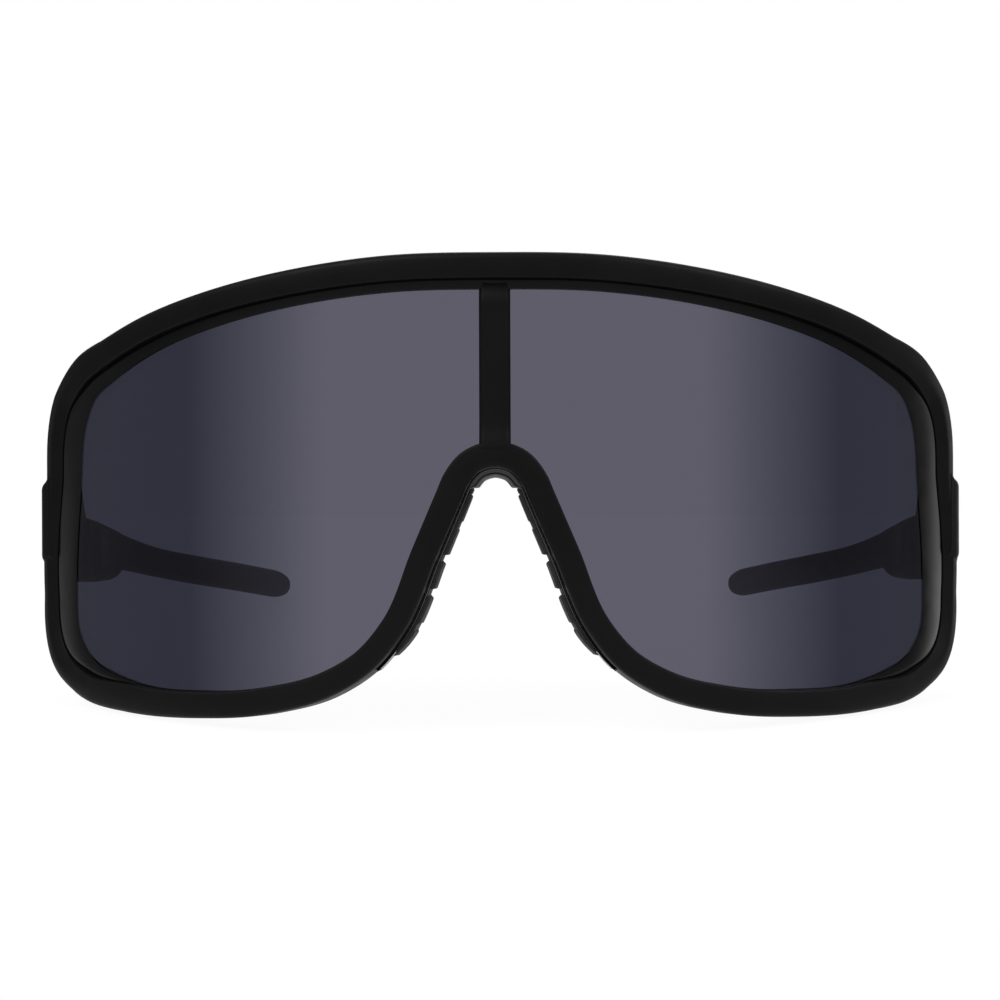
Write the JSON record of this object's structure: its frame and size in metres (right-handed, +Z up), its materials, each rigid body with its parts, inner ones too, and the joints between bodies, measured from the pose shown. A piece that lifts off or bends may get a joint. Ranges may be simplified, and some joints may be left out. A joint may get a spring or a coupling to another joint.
{
  "type": "wraparound sport sunglasses",
  "caption": "Wraparound sport sunglasses: one smoke shield lens in a full-rim matte black front with centre bar, ribbed nose pads and folding side arms.",
  "frame": {"origin": "centre of the bottom of the bounding box: on the surface the open glasses stand on, halfway from front to arm tips", "axes": "+X to the wearer's left, +Y back along the arms, +Z up from the surface"},
  "size_m": [0.1476, 0.15, 0.0728],
  "materials": {
    "frame": "fine-grained matte black nylon",
    "lens": "dark smoke polycarbonate with a light mirror coat",
    "bezel": "satin black",
    "nose_piece": "glossy black",
    "nose_pad": "soft matte rubber",
    "arm": "fine-grained matte black nylon",
    "tip": "soft matte rubber",
    "hinge": "black-coated steel",
    "screw": "black-coated steel"
  },
  "bodies": {
    "front": {"front_frame": "frame", "shield_lens": "lens", "lens_bezel": "bezel", "centre_bar": "frame", "nose_carrier": "nose_piece", "nose_pad_left": "nose_pad", "nose_pad_right": "nose_pad", "hinge_front_leaf_left": "hinge", "front_leaf_screws_left": "screw", "hinge_screw_left": "screw", "hinge_front_leaf_right": "hinge", "front_leaf_screws_right": "screw", "hinge_screw_right": "screw"},
    "arm_left": {"temple_arm_left": "arm", "hinge_temple_leaf_left": "hinge", "temple_leaf_screws_left": "screw", "temple_tip_left": "tip"},
    "arm_right": {"temple_arm_right": "arm", "hinge_temple_leaf_right": "hinge", "temple_leaf_screws_right": "screw", "temple_tip_right": "tip"}
  },
  "joints": [
    {"name": "fold_left", "type": "hinge", "parent": "front", "child": "arm_left", "pos_m": [0.06602, -0.02637, 0.02261], "axis": [0, 0.117, 0.9931], "range_deg": [0, 90]},
    {"name": "fold_right", "type": "hinge", "parent": "front", "child": "arm_right", "pos_m": [-0.06602, -0.02637, 0.02261], "axis": [0, -0.117, -0.9931], "range_deg": [0, 76]}
  ]
}
